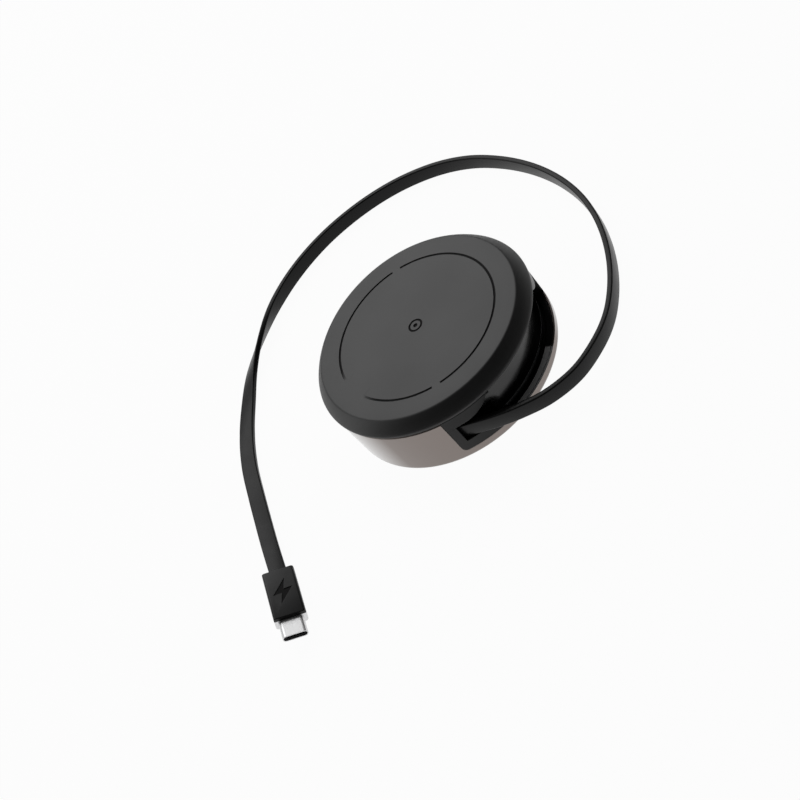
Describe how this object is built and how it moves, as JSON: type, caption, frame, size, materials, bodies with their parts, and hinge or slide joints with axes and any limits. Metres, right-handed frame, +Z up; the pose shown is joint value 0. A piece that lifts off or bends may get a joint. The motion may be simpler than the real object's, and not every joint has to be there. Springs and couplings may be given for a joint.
{
  "type": "wireless charger",
  "caption": "Round wireless charging pad with a soft black cap, a taupe metal band and a flat plug-ended cable drawn out of a window onto the table.",
  "frame": {"origin": "middle of the foot, on the table, below the centre of the charging face", "axes": "+Z up along the reel's shaft, -Y through the middle of the cable window"},
  "size_m": [0.1948, 0.1522, 0.0256],
  "materials": {
    "cover_black": "soft-touch",
    "chassis_black": "satin",
    "reel_black": "glossy",
    "shell_metal": "satin anodised",
    "foot_rubber": "matte",
    "steel": "plain",
    "spring_steel": "blued",
    "bronze": "sintered",
    "board_green": "solder mask",
    "chip_black": "moulded",
    "copper": "enamelled copper",
    "gold_contact": "gold plated",
    "ferrite": "sintered",
    "carrier_grey": "moulded",
    "cable_black": "smooth satin",
    "plug_black": "satin",
    "plug_steel": "nickel plated"
  },
  "bodies": {
    "housing": {"top_cover": "cover_black", "upper_chassis": "chassis_black", "lower_chassis": "chassis_black", "outer_shell": "shell_metal", "base_plate": "chassis_black", "foot_ring": "foot_rubber", "base_screws": "steel", "centre_screw": "steel", "shaft_screws": "steel", "reel_shaft": "steel", "reel_retainer": "steel", "mainspring": "spring_steel", "pawl_pin": "steel", "pawl_spring": "spring_steel", "brush_block": "chip_black", "brush_springs": "gold_contact", "circuit_board": "board_green", "board_components": "chip_black", "board_screws": "steel", "coil_carrier": "carrier_grey", "ferrite_plate": "ferrite", "charging_coil": "copper", "ribbon_cable": "cable_black", "plug_housing": "shell_metal", "plug_cap": "plug_black", "plug_shell": "plug_steel", "plug_contacts": "chip_black"},
    "reel": {"reel_drum": "reel_black", "reel_flange": "reel_black", "reel_bush": "bronze", "cable_clamp": "chip_black", "ratchet_ring": "steel", "contact_disc": "board_green", "contact_rings": "gold_contact"},
    "pawl": {"ratchet_pawl": "steel"}
  },
  "joints": [
    {"name": "reel_spin", "type": "hinge", "parent": "housing", "child": "reel", "pos_m": [0, 0, 0.012], "axis": [0, 0, 1], "range_deg": [-660, 0]},
    {"name": "pawl_pivot", "type": "hinge", "parent": "housing", "child": "pawl", "pos_m": [0, 0.02975, 0.015], "axis": [0, 0, 1], "range_deg": [0, 20]}
  ]
}
